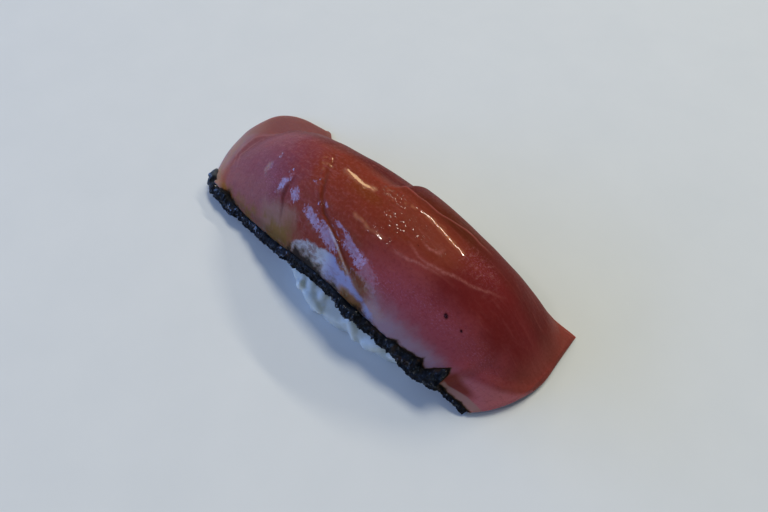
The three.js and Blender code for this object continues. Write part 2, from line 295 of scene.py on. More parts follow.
def skin_thickness(s):
    thin = 0.7 * bell(s - 1, 8) + 0.3 * bell(s + 21, 4)
    thick = 0.6 * bell(s - 11, 2.2) + 0.6 * bell(s - 27.5, 3) + 0.6 * (1 - smoothstep(s, -31, -24))
    tail = 1 - 0.6 * smoothstep(s, 31, 33.5)
    return (SKIN_THICKNESS - thin + thick) * tail


def skin_reach(s):
    """How far the skin comes up the near side of the flesh, and over onto its top."""
    rise = 0.4 * bell(s - 2, 7) + 1.3 * bell(s - 24, 4.5) - 0.5 * bell(s + 15, 6)
    rise = rise + 0.9 * (1 - smoothstep(s, -33, -24))
    lumps = 0.35 * noise(s * 0.8, 7.5) + 0.3 * noise(s * 1.9, 2.5) + 0.18 * noise(s * 4.3, 5.5)
    peak = 2.7 * plateau(s, 28.1, 29.8, 30.2, 31.8)
    return (2.7 + rise + lumps) * (1 - 0.65 * smoothstep(s, 31, 34)) + peak


def column_lift(s, droop):
    """How much the underside is raised so that it stays above the plate."""
    _, z, tx, _ = arch_at(s)
    z = z - tx * droop
    return 0.5 * (PLATE_CLEARANCE - z + np.hypot(z - PLATE_CLEARANCE, 0.4))


def place(s, y, n, lift):
    """The point n off the arch at arc length s, y across it, raised by lift."""
    x, z, tx, tz = arch_at(s)
    return np.stack([x - tz * n, y + 0 * x, z + tx * n + lift], -1)


def under_point(s, v):
    """A point of the slice's underside at arc length s and cross position v, from -1 to 1."""
    y, droop, _ = section_at(s, v)
    return place(s, y, -droop, column_lift(s, droop))


def underside(stations, places):
    """Points all over the slice's underside: stations along it with so many places across each."""
    v = np.linspace(-1, 1, places)[None]
    u = np.linspace(0, 1, stations)[:, None]
    return under_point(mix(left_outline(v), right_outline(v), u), v)


def top_point(s, v, relief=0.0):
    """A point of its top, moved out by the relief."""
    y, droop, thickness = section_at(s, v)
    rim = np.clip(rim_distance(s, v) / RIM_ROUNDING, 0, 1)
    thickness = thickness * (0.3 + 0.7 * np.sqrt(1 - (1 - rim) ** 2))
    share = np.where(v < 0, np.abs(v) ** 3, 0)
    shoulder = np.where(v < 0, 1, np.sqrt(np.clip(1 - 0.96 * np.maximum(v, 0) ** 5, 0, 1)))
    edge = np.minimum(edge_height(s), thickness + 2)
    n = mix(thickness * shoulder, edge, share) - droop
    return place(s, y, n + relief * (1 - np.abs(v) ** 6), column_lift(s, droop))


# Lines on the flesh: millimetres along the slice, then across it from its middle line
LONG_CREASE = (
    (-8.4, 1.7), (-6, -2.7), (-3.8, -6.1), (-1.7, -7.6), (0.6, -8.3),
    (3.3, -9.3), (6.1, -10.4), (9.1, -11.5), (12.5, -12.2),
)
SHORT_CREASE = ((-11.6, -5.8), (-12.3, -8.6), (-11.4, -11.3))
END_FOLD = ((31, -10.4), (33.6, -9.2), (37.2, -7.5), (40.1, -5.5), (42.5, -3.2))
SEPTA = (
    ((12, -2.9), (14, -3.5), (16, -3.5), (18, -2.9), (20, -1.9), (22, -0.9), (24, 0.5), (26.5, 2.3)),
    ((11, -5.4), (13, -4.9), (15, -4.4), (18, -3.5)),
    ((13.2, -1.6), (14.6, -1.9), (15.8, -1.3), (16, -0.3)),
)
DARK_SPOTS = ((22.8, -6.8, 0.5), (25.8, -6.7, 0.3), (13, -2.4, 0.16))

# Upper edge of the pale fat
FAT_EDGE = (
    (-9, -12.8), (-6, -11.9), (-3, -11), (0, -10.9), (3, -10.7),
    (7, -11.3), (10, -11.8), (13, -12.3), (19, -12.8),
)

# Fine wrinkles of the thin left end
WRINKLES = (
    ((-35.2, -8.4), (-40.2, -5.2), (-41.2, -2.4), (-41, 0.9), (-37.5, 3.6), (-34, 7.2)),
    ((-33.5, -8.2), (-37.6, -5.4), (-39, -2.2), (-38.6, 1.2)),
    ((-38.4, -9.2), (-42, -6), (-43, -3.2)),
    ((-31, -1), (-27.5, 2.5), (-25.5, 4.5)),
)

# Thin ridges of glaze that catch the lamps, and carry a painted highlight tint: the line, its half width in
# millimetres and its strength
GLAZE_RIDGES = (
    (((10.3, 2.45), (11.2, 2.75), (12.3, 2.5), (14, 2.35), (16, 2.1), (17.4, 1.95), (18, 1.5)), 0.36, 1.0),
    (((7.4, 2.2), (8.6, 2.15), (9.6, 2.45), (10.5, 2.4)), 0.22, 0.6),
    (((11.4, 3.3), (12.6, 3.1), (13.8, 3.3)), 0.15, 0.4),
    (((3.1, 2.1), (3.8, 1.3), (4.4, 0.8), (5, 0.75)), 0.17, 0.5),
    (((5.3, 1.5), (5.75, 0.9), (5.3, 0.35)), 0.17, 0.5),
    (((6, 0.7), (6.8, 1.2), (7.2, 2)), 0.17, 0.45),
    (((-4.8, 0.3), (-3.4, -0.1), (-2, -0.25), (-0.4, -0.3), (0.6, -0.2), (1.6, 0), (2.8, 0)), 0.5, 0.8),
    (((2.6, -5), (3.9, -5.2), (6.3, -5.35), (9.4, -5.1)), 0.24, 0.74),
    (((-8.6, -1), (-7.2, -0.8), (-6.2, -1.1)), 0.18, 0.4),
    (((-8.4, -1.7), (-7.5, -2.2), (-6.7, -2.2)), 0.18, 0.35),
    (((-9.6, -0.6), (-9, 0.2), (-8, 0.4), (-7.4, -0.2)), 0.2, 0.6),
    (((-8.9, -1.2), (-8, -1.4), (-7.3, -0.9)), 0.18, 0.6),
    (((-7, -3.4), (-5.9, -3.9), (-5.7, -4.4)), 0.18, 0.35),
)

# Pools of glaze: place along and across, half length, half width and turn in degrees
WET_POOLS = (
    (-20, -6.2, 1.3, 1.0, 60), (-13.4, -7.5, 1.9, 0.8, 55), (-9.4, -7.7, 1.3, 0.9, 0),
    (-1.8, -6.2, 0.8, 0.5, 0),
    (-3.4, -8.9, 2.6, 0.9, -12), (1, -9.4, 3, 1.1, -10), (2.5, -7.4, 1.7, 0.4, 0), (5.6, -8.3, 2.2, 1.1, -12),
    (9.3, -9.5, 3.6, 1.2, -16), (12, -10.7, 1.7, 0.8, -30),
    (5.5, -12.1, 6.8, 1.2, 0), (14.5, -12.3, 3, 0.8, 0),
)

# Clusters of small glistening drops: place along and across, half length and half width
DROP_CLUSTERS = (
    (9.4, -1.9, 3, 1.5), (6.9, -5.1, 3.4, 0.7), (-3.8, -6.7, 1.0, 0.6), (-6.4, -3.6, 1.2, 1.4),
    (16, -0.2, 0.4, 1.0), (-17.4, -3.3, 1.3, 1.2), (-13, -5, 0.9, 0.6), (5, 1.4, 2.6, 1.2),
)

# Clusters of faint pale dots, painted glints, in the same way
GLINT_SPECKLES = (
    (31.5, -7.2, 4.5, 1.9), (21, -7.8, 5, 1.6), (21, 2.4, 3, 2), (-17, -8, 4, 2.5), (14, -9.5, 3, 1.5),
)


def chain_distance(s, across, chain):
    """Signed distance from a chain of points, and how far along it the nearest point lies."""
    best = np.full(np.shape(s), np.inf)
    signed = np.zeros(np.shape(s))
    along = np.zeros(np.shape(s))
    spans = len(chain) - 1
    for k in range(spans):
        (ax, ay), (bx, by) = chain[k], chain[k + 1]
        dx, dy = bx - ax, by - ay
        t = np.clip(((s - ax) * dx + (across - ay) * dy) / (dx * dx + dy * dy), 0, 1)
        ox, oy = s - ax - t * dx, across - ay - t * dy
        distance = np.hypot(ox, oy)
        nearer = distance < best
        best = np.where(nearer, distance, best)
        signed = np.where(nearer, distance * np.sign(dx * oy - dy * ox), signed)
        along = np.where(nearer, (k + t) / spans, along)
    return signed, along


def fading_ends(along):
    return np.sqrt(np.sin(np.pi * np.clip(along, 0.02, 0.98)))


def line_strength(s, across, chain, width, waviness=1.0):
    """1 on the line, falling to 0 at its ends and beside it, with the line itself a little wavy."""
    wander = 0.35 * noise(s * 0.6, across * 0.6 + 31) + 0.12 * noise(s * 2.1, across * 2.1)
    distance, along = chain_distance(s, across, chain)
    return fading_ends(along) * bell(distance + waviness * wander, width)


def lines_together(s, across, chains, *settings):
    """The strength of several lines, at most 1 where they meet."""
    return np.clip(sum(line_strength(s, across, chain, *settings) for chain in chains), 0, 1)


def flake_step(s, v):
    """Where the step of the overlapping flake runs, and how far a point lies beyond it."""
    edge = 0.36 + 0.14 * smoothstep(s, 10, 17) + 0.02 * noise(s * 0.7, 3.3)
    span = plateau(s, 2.5, 4.5, 16, 22)
    return span, (v - edge) * HALF_GIRTH


def crease_relief(s, across, chain, depth):
    """A fold, which the material darkens with painted shade: the flesh on its lower side overlaps the other
    with a thin lip.
    """
    wander = 0.3 * noise(s * 0.6, across * 0.6 + 31)
    distance, along = chain_distance(s, across, chain)
    below = wander - distance
    lip = smoothstep(below, -0.12, 0.22) * np.exp(-np.maximum(below, 0) / 1.6)
    groove = bell(below + 0.22, 0.24)
    return depth * fading_ends(along) * (lip - 0.6 * groove)


def pool_field(s, across):
    """1 in the middle of a pool of glaze, falling away round it."""
    total = np.zeros(np.shape(s))
    for at_s, at_across, length, width, turn in WET_POOLS:
        a = math.radians(turn)
        x = (s - at_s) * math.cos(a) + (across - at_across) * math.sin(a)
        y = (across - at_across) * math.cos(a) - (s - at_s) * math.sin(a)
        total = np.maximum(total, np.exp(-0.7 * ((x / length) ** 2 + (y / width) ** 2)))
    return total


def ridge_field(s, across):
    """1 on the crest of the strongest ridges of glaze."""
    wander = 0.22 * noise(s * 1.1, across * 1.1 + 7) + 0.08 * noise(s * 3.5, across * 3.5)
    total = np.zeros(np.shape(s))
    for chain, width, strength in GLAZE_RIDGES:
        distance, along = chain_distance(s, across, chain)
        ends = smoothstep(np.sin(np.pi * np.clip(along, 0, 1)), 0, 0.25)
        swelling = 1 + 0.35 * noise(s * 1.7 + 9, across * 0.8)
        broken = smoothstep(noise(s * 2.6, across * 1.1 + 4), -0.5, 0.2)
        gaps = mix(broken, 1, smoothstep(strength, 0.55, 0.9))
        total = np.maximum(total, strength * gaps * ends * bell(distance + wander, width * swelling))
    return total


def cluster_field(s, across, clusters):
    return np.clip(sum(bell(np.hypot((s - a) / c, (across - b) / d), 1) for a, b, c, d in clusters), 0, 1)


def skin_distance(s, across):
    """How far a point of the flesh's top lies above the upper edge of the skin."""
    line = np.linspace(float(left_outline(-1.0)), float(right_outline(-1.0)), 90)
    edge = np.full_like(line, -1.0)
    rise = np.linalg.norm(top_point(line, edge) - under_point(line, edge), axis=1)
    return HALF_GIRTH + across - np.interp(s, line, skin_reach(line) - rise)


def fat_field(s, across):
    """Pale fat between the long crease and the skin."""
    edge = np.interp(s, *zip(*FAT_EDGE)) + 0.2 * noise(s * 0.5, 21.7)
    return smoothstep(edge - across, -0.5, 0.7) * plateau(s, -11, -4, 13, 19)


def flesh_relief(s, v):
    """Height over the plain slice, in millimetres."""
    across = v * HALF_GIRTH
    long_crease = crease_relief(s, across, LONG_CREASE, LONG_CREASE_DEPTH)
    short_crease = crease_relief(s, across, SHORT_CREASE, SHORT_CREASE_DEPTH)
    span, beyond = flake_step(s, v)
    flake = -FLAKE_DEPTH * span * smoothstep(beyond, 0, 0.5)
    dip = -FAR_NOTCH_DROP * plateau(s, -6, 2.6, 3, 4.8) * smoothstep(v, 0.15, 0.45)
    fold = FOLD_HEIGHT * bell(chain_distance(s, across, END_FOLD)[0], 1.5)
    waves = WAVE_HEIGHT * noise(s * 0.16, across * 0.2 + 5.3)
    calm = bell(np.hypot((s - 12) / 9, (across - 2) / 3), 1)
    pillows = PILLOW_HEIGHT * layered_noise(s * 0.34 + 3, across * 0.42, 3) * (1 - calm)
    septa = sum(SEPTUM_HEIGHT * line_strength(s, across, chain, 0.25, 0.4) for chain in SEPTA)
    wrinkles = sum(WRINKLE_HEIGHT * line_strength(s, across, chain, 0.6) for chain in WRINKLES)
    glaze = POOL_HEIGHT * pool_field(s, across) + RIDGE_HEIGHT * ridge_field(s, across)
    return long_crease + short_crease + flake + dip + fold + waves + pillows + septa + wrinkles + glaze


# Mesh making


def slice_offset():
    """From the slice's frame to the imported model's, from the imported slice's ends and far edge."""
    low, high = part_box("bonito_slice")
    under = underside(73, 25)
    middle = 0.5 * (under[..., 0].min() + under[..., 0].max())
    far = under[..., 1].max()
    return np.array([0.5 * (low.x + high.x) / MM - middle, high.y / MM - far, 0.0])


OFFSET = slice_offset()


def make_object(name, points, faces, material, attributes=None):
    """An object from points in the slice's frame, with values for each point to paint by."""
    mesh = bpy.data.meshes.new(name)
    points = np.asarray(points, float).reshape(-1, 3)
    mesh.from_pydata(((points + OFFSET) * MM).tolist(), [], faces)
    mesh.validate()
    for key, values in (attributes or {}).items():
        values = np.asarray(values, np.float32)
        kind, field = ("FLOAT", "value") if values.ndim == 1 else ("FLOAT_VECTOR", "vector")
        layer = mesh.attributes.new(key, kind, "POINT")
        layer.data.foreach_set(field, values.ravel())
    mesh.shade_smooth()
    mesh.materials.append(material)
    piece = bpy.data.objects.new(name, mesh)
    bpy.context.scene.collection.objects.link(piece)
    return piece


def loop_faces(rows, columns):
    """Quads of a grid whose columns close on themselves."""
    i, j = np.meshgrid(np.arange(rows - 1), np.arange(columns), indexing="ij")
    a = i * columns + j
    b = i * columns + (j + 1) % columns
    return np.stack([a, b, b + columns, a + columns], -1).reshape(-1, 4).tolist()


def cap_faces(loop, first, flip):
    """Triangles that close one end of a sleeve whose numbering starts at first there."""
    flat = [Vector((p[1], p[2], 0)) for p in loop]
    faces = [list(t) for t in tessellate_polygon([flat])]
    area = sum(flat[k - 1].x * flat[k].y - flat[k].x * flat[k - 1].y for k in range(len(flat)))
    out = []
    for a, b, c in faces:
        turn = (flat[b] - flat[a]).cross(flat[c] - flat[a]).z
        ordered = (a, b, c) if (turn > 0) == (area > 0) else (a, c, b)
        out.append([first + k for k in (ordered[::-1] if flip else ordered)])
    return out


def sleeve_faces(rings):
    """Outward faces of a sleeve of rings along X, with both its ends closed."""
    rows, columns = rings.shape[:2]
    faces = [face[::-1] for face in loop_faces(rows, columns)]
    faces += cap_faces(rings[0], 0, flip=False)
    return faces + cap_faces(rings[-1], (rows - 1) * columns, flip=True)


# Flesh


def scorched_width(s):
    """How far the scorching fades out over the flesh above the skin."""
    return 1 + 1.2 * bell(s + 2, 7) + 0.8 * bell(s - 11.5, 3) - 0.5 * smoothstep(s, 14, 17)


def end_weighted(count):
    """Shares from 0 to 1 that lie closer together at both ends."""
    t = np.linspace(0, 1, count)
    return t - 0.11 * np.sin(2 * np.pi * t)


def flesh_masks(s, v):
    """What the material paints by at each point of the flesh."""
    across = v * HALF_GIRTH
    span, beyond = flake_step(s, v)
    spots = sum(bell(np.hypot(s - a, 1.4 * (across - b) + 0.4 * (s - a)), r) for a, b, r in DARK_SPOTS)
    below, along = chain_distance(s, across, LONG_CREASE)
    lip_highlight_range = plateau(along, 0.45, 0.55, 0.78, 0.85)
    masks = {
        # Dark lines along the creases: painted shade in the grooves.
        "crease": lines_together(s, across, (LONG_CREASE, SHORT_CREASE), 0.4),
        # Pale line on the crease's lifted lip: a painted highlight.
        "lip": lip_highlight_range * bell(below + 0.36, 0.13),
        "septum": lines_together(s, across, SEPTA, 0.2, 0.6),
        "wrinkle": lines_together(s, across, WRINKLES, 0.3),
        "flake": span * bell(beyond + 0.05, 0.26),
        "spot": np.clip(spots, 0, 1),
        "wet": pool_field(s, across),
        "ridge_and_painted_glint": ridge_field(s, across),
        "fat": fat_field(s, across),
        "drops": cluster_field(s, across, DROP_CLUSTERS),
        "glint_specks": cluster_field(s, across, GLINT_SPECKLES),
        "char": np.exp(-np.maximum(skin_distance(s, across), 0) / scorched_width(s)),
        "below_fold": smoothstep(-chain_distance(s, across, END_FOLD)[0], -0.2, 1.2) * smoothstep(s, 30, 34),
        # Pale rims along the outlines: the thin flesh's paler edge and a painted sheen.
        "rim": np.exp(-rim_distance(s, v) / 1.2),
        "thin_rim_and_sheen": (1 - smoothstep(s - left_outline(v), 0.8, 4.5)) * (1 - smoothstep(v, -0.2, 0.5)),
        "flap": 1 - smoothstep(s - left_outline(v) - flap_width(v), -1.5, 1.5),
    }
    flat = {key: values.ravel() for key, values in masks.items()}
    flat["slice_mm"] = np.stack([s, across, 0 * s], -1).reshape(-1, 3)
    return flat


def make_flesh(material):
    """Rings along the slice: its top, far side, underside and near side."""
    u = end_weighted(FLESH_STATIONS)[:, None]
    v_top = np.linspace(-1, 1, FLESH_TOP_POINTS)[None]
    v_under = np.linspace(1, -1, FLESH_UNDER_POINTS)[None]
    s_top = mix(left_outline(v_top), right_outline(v_top), u)
    s_under = mix(left_outline(v_under), right_outline(v_under), u)
    v_top = np.broadcast_to(v_top, s_top.shape)
    v_under = np.broadcast_to(v_under, s_under.shape)
    top = top_point(s_top, v_top, flesh_relief(s_top, v_top))
    under = under_point(s_under, v_under)
    t = (np.arange(1, FLESH_SIDE_POINTS + 1) / (FLESH_SIDE_POINTS + 1))[None, :, None]
    far = mix(top[:, -1:], under[:, :1], t)
    far[..., 1] += FAR_SIDE_BULGE * np.sin(np.pi * t[..., 0])
    near = mix(under[:, -1:], top[:, :1], t)
    points = np.concatenate([top, far, under, near], 1)
    blank = np.ones((1, FLESH_SIDE_POINTS))
    s_all = np.concatenate([s_top, s_top[:, -1:] * blank, s_under, s_top[:, :1] * blank], 1)
    side = blank * np.ones((FLESH_STATIONS, 1))
    v_all = np.concatenate([v_top, side, v_under, -side], 1)
    return make_object("Flesh", points, sleeve_faces(points), material, flesh_masks(s_all, v_all))


# Charred skin


def skin_path():
    """Stations (s, v) round the near left corner and along the near edge, and the way inward from each."""
    v_turn = np.linspace(-0.79, -1, 60)[:-1]
    round_corner = np.stack([left_outline(v_turn) + 0.05, v_turn], -1)
    s_edge = np.linspace(left_outline(-1.0) + 0.05, right_outline(-1.0) - 0.2, 1400)
    line = np.concatenate([round_corner, np.stack([s_edge, -np.ones_like(s_edge)], -1)])
    foot = under_point(line[:, 0], line[:, 1])
    length = np.concatenate([[0], np.cumsum(np.linalg.norm(np.diff(foot, axis=0), axis=1))])
    even = np.linspace(0, length[-1], SKIN_STATIONS)
    s, v = np.interp(even, length, line[:, 0]), np.interp(even, length, line[:, 1])
    turned = smoothstep(even, 1.5, 9)
    return s, v, even, unit(np.stack([1 - turned, turned], -1))


def skin_base(s, v, inward, w):
    """The flesh's own side and top under the skin, w millimetres up from its lower edge."""
    foot, rim = under_point(s, v)[:, None], top_point(s, v)[:, None]
    rise = np.linalg.norm(rim - foot, axis=-1)
    wall = foot + (rim - foot) * (w / rise)[..., None]
    over = np.maximum(w - rise, 0)
    s_in = s[:, None] + over * inward[:, :1]
    v_in = v[:, None] + over * inward[:, 1:] / HALF_GIRTH
    top = top_point(s_in, v_in, flesh_relief(s_in, v_in))
    return np.where((w < rise)[..., None], wall, top)


def blur(grid, radius, axis):
    kernel = bell(np.arange(-3 * radius, 3 * radius + 1), radius * 1.4)
    kernel /= kernel.sum()
    pad = [(0, 0)] * grid.ndim
    pad[axis] = (3 * radius, 3 * radius)
    wide = np.pad(grid, pad, mode="edge")
    return np.apply_along_axis(lambda line: np.convolve(line, kernel, "valid"), axis, wide)


def unit(vectors):
    return vectors / np.linalg.norm(vectors, axis=-1, keepdims=True)


def char_relief(points, travelled, w):
    """Ridges that run along the skin, lumps, wrinkles and grit, in millimetres."""
    drift = 1.1 * noise(travelled * 0.16, 11.5)
    ridges = 0.22 * noise(travelled * 0.3, w * 0.85 + drift)
    ridges += 0.14 * noise(travelled * 0.75 + 5, w * 1.7 + drift)
    grit = np.array([char_grit(Vector(p)) for p in points.reshape(-1, 3)]).reshape(w.shape)
    return ridges + grit


def char_grit(p):
    lumps = 0.34 * perlin.noise(p * 0.5)
    wrinkles = 0.28 * (0.5 - 2 * abs(perlin.noise(p * 1.3 + Vector((7, 3, 1)))))
    crumbs = 0.44 * max(perlin.noise(p * 2 + Vector((3, 9, 4))), -0.1)
    return lumps + wrinkles + crumbs + 0.12 * perlin.noise(p * 4.1) + 0.05 * perlin.noise(p * 8.2)


def make_skin(material):
    """A lumpy band over the near edge, closed at the back by a few points under the flesh's surface."""
    s, v, travelled, inward = skin_path()
    to_end = travelled[-1] - travelled
    ends = np.sqrt(1 - (1 - np.clip(np.minimum(travelled / 1.6, to_end / 0.8), 0, 1)) ** 2)
    reach = skin_reach(s) * mix(0.5, 1, ends) * mix(0.8, 1, smoothstep(travelled, 0, 6))
    thick = skin_thickness(s) * mix(0.25, 1, ends) * mix(0.4, 1, smoothstep(travelled, 0, 5))
    share = np.linspace(0, 1, SKIN_OUTER)[None]
    w = mix(-SKIN_LIP, reach[:, None], share)
    base = blur(blur(skin_base(s, v, inward, w), 3, 1), 4, 0)
    normal = unit(np.cross(np.gradient(base, axis=0), np.gradient(base, axis=1)))
    full = np.sqrt(1 - np.abs(2 * share - 1) ** 2.6)
    relief = char_relief(base, np.broadcast_to(travelled[:, None], w.shape), w)
    outer = base + normal * (full * (thick[:, None] * 0.8 + relief))[..., None]
    inner = (base - normal * (0.25 * full)[..., None])[:, ::-1][:, 1:-1:4]
    points = np.concatenate([outer, inner], 1)
    points[..., 2] = np.maximum(points[..., 2], 0.12)
    attributes = {
        "flap": np.repeat(1 - smoothstep(travelled, 3, 7), points.shape[1]),
        "height": np.pad(np.broadcast_to(share, w.shape), ((0, 0), (0, inner.shape[1]))).ravel(),
    }
    return make_object("Seared_skin", points, sleeve_faces(points), material, attributes)


# Rice


def rice_wall(angle, z):
    """A point of the block's side at an angle round it and a height."""
    cos, sin = np.cos(angle), np.sin(angle)
    x = np.where(cos < 0, -RICE_LEFT_REACH, RICE_RIGHT_REACH) * np.abs(cos) ** 0.75
    pressed_out = RICE_BULGE * bell(x - RICE_BULGE_X, 9.5) + RICE_HEEL * smoothstep(x, 2, 18)
    near = RICE_NEAR_WIDTH + pressed_out * (1 - smoothstep(z, 3, 7.5))
    far = RICE_FAR_WIDTH - RICE_WAIST * bell(x - RICE_WAIST_X, 12)
    y = np.where(sin < 0, -near * np.abs(sin) ** 0.5, far * np.abs(sin) ** 0.8)
    below = 1 - 0.05 * ((3 - z) / 3) ** 2
    above = 1 - 0.5 * ((z - 3) / (CROWN_HEIGHT + 2)) ** 2
    lean = np.where(z < 3, below, above)
    return np.stack([x * lean, y * lean, z + 0 * x], -1)


def grain_places():
    """Angle, height, size, turn and depth of each grain of the outer layer."""
    draw = seeded_random(SEED).__next__
    perimeter = 2 * math.pi * math.sqrt((RICE_RIGHT_REACH**2 + RICE_NEAR_WIDTH**2) / 2)
    count = round(perimeter / GRAIN_PITCH)
    places = []
    for row, height in enumerate(GRAIN_ROW_HEIGHTS):
        for i in range(count):
            angle = 2 * math.pi * (i + 0.5 * (row % 2) + 0.5 * (draw() - 0.5)) / count
            z = height + 0.7 * (draw() - 0.5)
            size = 0.86 + 0.24 * draw()
            turn = (draw() - 0.5) * 2.2
            places.append((angle, z, size, turn, 0.0))
    return places


def filling_places():
    """A second, deeper layer of grains, which closes the gaps of the outer one."""
    rng = np.random.default_rng(SEED)
    places = []
    for z in FILLING_HEIGHTS:
        for i in range(FILLING_COUNT):
            angle = 2 * math.pi * (i + rng.uniform(-0.3, 0.3)) / FILLING_COUNT
            depth = rng.uniform(0.5, 1.3)
            height = z + rng.uniform(-0.5, 0.5)
            size = rng.uniform(0.85, 1.1)
            places.append((angle, height, size, rng.uniform(-1.5, 1.5), depth))
    return places


def underside_height():
    """A coarse map of the slice's underside, as a function of x and y."""
    points = underside(700, 240).reshape(-1, 3)
    half_x, half_y = MAP_HALF_SIZE
    ix = np.floor((points[:, 0] + half_x) / MAP_CELL).astype(int)
    iy = np.floor((points[:, 1] + half_y) / MAP_CELL).astype(int)
    heights = np.full((int(2 * half_x / MAP_CELL), int(2 * half_y / MAP_CELL)), NOTHING_ABOVE)
    np.minimum.at(heights, (ix, iy), points[:, 2])
    return lambda x, y: heights[int((x + half_x) / MAP_CELL), int((y + half_y) / MAP_CELL)]


def grain_shape():
    """A plump grain along X, one unit long, with a shallow side groove."""
    rings, sides = 13, 12
    points = [(-0.5, 0, 0)]
    for i in range(1, rings):
        t = i / rings
        x = -0.5 * math.cos(math.pi * t)
        radius = 0.5 * math.sin(math.pi * t) ** 0.8 * (1 + 0.06 * math.cos(math.pi * t))
        for j in range(sides):
            a = 2 * math.pi * j / sides
            groove = 1 - 0.07 * math.exp(-((math.sin(a / 2 - 0.5) / 0.25) ** 2))
            points.append((x, radius * groove * math.cos(a), radius * groove * math.sin(a)))
    points.append((0.5, 0, 0))
    last = len(points) - 1
    faces = []
    for j in range(sides):
        k = (j + 1) % sides
        faces.append([0, 1 + k, 1 + j])
        end = 1 + (rings - 2) * sides
        faces.append([last, end + j, end + k])
        for i in range(rings - 2):
            a = 1 + i * sides
            faces.append([a + j, a + k, a + sides + k, a + sides + j])
    return np.array(points), faces


def grain_points(shape, angle, z, size, turn, depth, wobble):
    """One grain on the rice's wall, a little bent and tapered, and sunk deeper on the near side."""
    along = rice_wall(angle + 0.02, z) - rice_wall(angle - 0.02, z)
    up = rice_wall(angle, z + 0.2) - rice_wall(angle, z - 0.2)
    along, up = unit(along), unit(up)
    out = unit(np.cross(along, up))
    axis = along * math.cos(turn) + up * math.sin(turn)
    side = unit(np.cross(out, axis))
    scaled = shape * np.array([GRAIN_LENGTH, GRAIN_WIDTH, GRAIN_WIDTH * 0.87]) * size
    scaled[:, 1] += wobble[0] * (shape[:, 0] ** 2) * 4 * 0.35
    scaled[:, 2] *= 1 + 0.12 * wobble[1] * shape[:, 0] * 2
    sunk = mix(GRAIN_SINK, GRAIN_SINK_NEAR, smoothstep(-math.sin(angle), 0, 0.6))
    centre = rice_wall(angle, z) - out * (depth + sunk)
    return centre + scaled[:, :1] * axis + scaled[:, 1:2] * side + scaled[:, 2:] * out


def loose_grains():
    """The points and faces of every grain, and a random tint and middle for each."""
    shape, shape_faces = grain_shape()
    ceiling = underside_height()
    rng = np.random.default_rng(SEED + 1)
    points, faces, middles = [], [], []
    for angle, z, size, turn, depth in grain_places() + filling_places():
        grain = grain_points(shape, angle, z, size, turn, depth, rng.uniform(-1, 1, 2))
        centre = grain.mean(0)
        if centre[2] + 0.2 > ceiling(centre[0], centre[1]) or centre[2] < 0.7:
            continue
        grain[:, 2] = np.maximum(grain[:, 2], 0.02)
        start = len(points) * len(shape)
        points.append(grain)
        middles.append(centre)
        faces += [[start + k for k in face] for face in shape_faces]
    return np.concatenate(points), faces, np.array(middles), rng.uniform(size=len(middles))


def rice_core():
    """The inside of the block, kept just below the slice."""
    levels = np.array(CORE_LEVELS)
    angle = np.linspace(0, 2 * np.pi, 96, endpoint=False)
    ceiling = underside_height()
    rings = rice_wall(angle[None], levels[:, None])
    top = np.array([ceiling(x, y) for x, y, _ in rings.reshape(-1, 3)]).reshape(rings.shape[:2]) - 0.3
    rings[..., 2] = np.minimum(rings[..., 2], np.where(top > NOTHING_ABOVE - 1, CORE_OPEN_HEIGHT, top))
    rings[..., 2] = np.maximum(rings[..., 2], CORE_LEVELS[0])
    columns = len(angle)
    faces = loop_faces(len(levels), columns)
    faces.append(list(range(columns))[::-1])
    faces.append([(len(levels) - 1) * columns + j for j in range(columns)])
    return rings.reshape(-1, 3), faces


def fused(loose):
    """The outer surface of a piece's overlapping shells, melted together where they touch."""
    melt = loose.modifiers.new("Melt", "REMESH")
    melt.mode = "VOXEL"
    melt.voxel_size = RICE_VOXEL * MM
    soften = loose.modifiers.new("Soften", "SMOOTH")
    soften.iterations = RICE_SOFTENING
    mesh = loose.evaluated_get(bpy.context.evaluated_depsgraph_get()).to_mesh()
    points = np.empty(len(mesh.vertices) * 3)
    mesh.vertices.foreach_get("co", points)
    corners = np.empty(len(mesh.loops), int)
    mesh.loops.foreach_get("vertex_index", corners)
    bpy.data.objects.remove(loose)
    return points.reshape(-1, 3) / MM - OFFSET, corners.reshape(-1, 4)


def largest_shell(points, quads):
    """The part of a mesh that hangs together and has the most points."""
    label = np.arange(len(points))
    while True:
        lowest = label[quads].min(1, keepdims=True)
        spread = label.copy()
        np.minimum.at(spread, quads, np.broadcast_to(lowest, quads.shape))
        spread = spread[spread]
        if (spread == label).all():
            break
        label = spread
    kept = label == np.bincount(label).argmax()
    number = np.cumsum(kept) - 1
    return points[kept], number[quads[kept[quads[:, 0]]]]


def make_rice(material):
    """Core and grains melted into one surface, each point tinted like its nearest grain."""
    grains, grain_faces, middles, tints = loose_grains()
    core, core_faces = rice_core()
    core_faces = [[k + len(grains) for k in face] for face in core_faces]
    loose = make_object("Loose_rice", np.concatenate([grains, core]), grain_faces + core_faces, material)
    points, quads = largest_shell(*fused(loose))
    points[:, 2] = np.maximum(points[:, 2], 0.01)
    tree = KDTree(len(middles))
    for k, middle in enumerate(middles):
        tree.insert(middle, k)
    tree.balance()
    tint = [tints[tree.find(point)[1]] for point in points]
    return make_object("Rice_grains", points, quads.tolist(), material, {"tint": tint})


# Materials


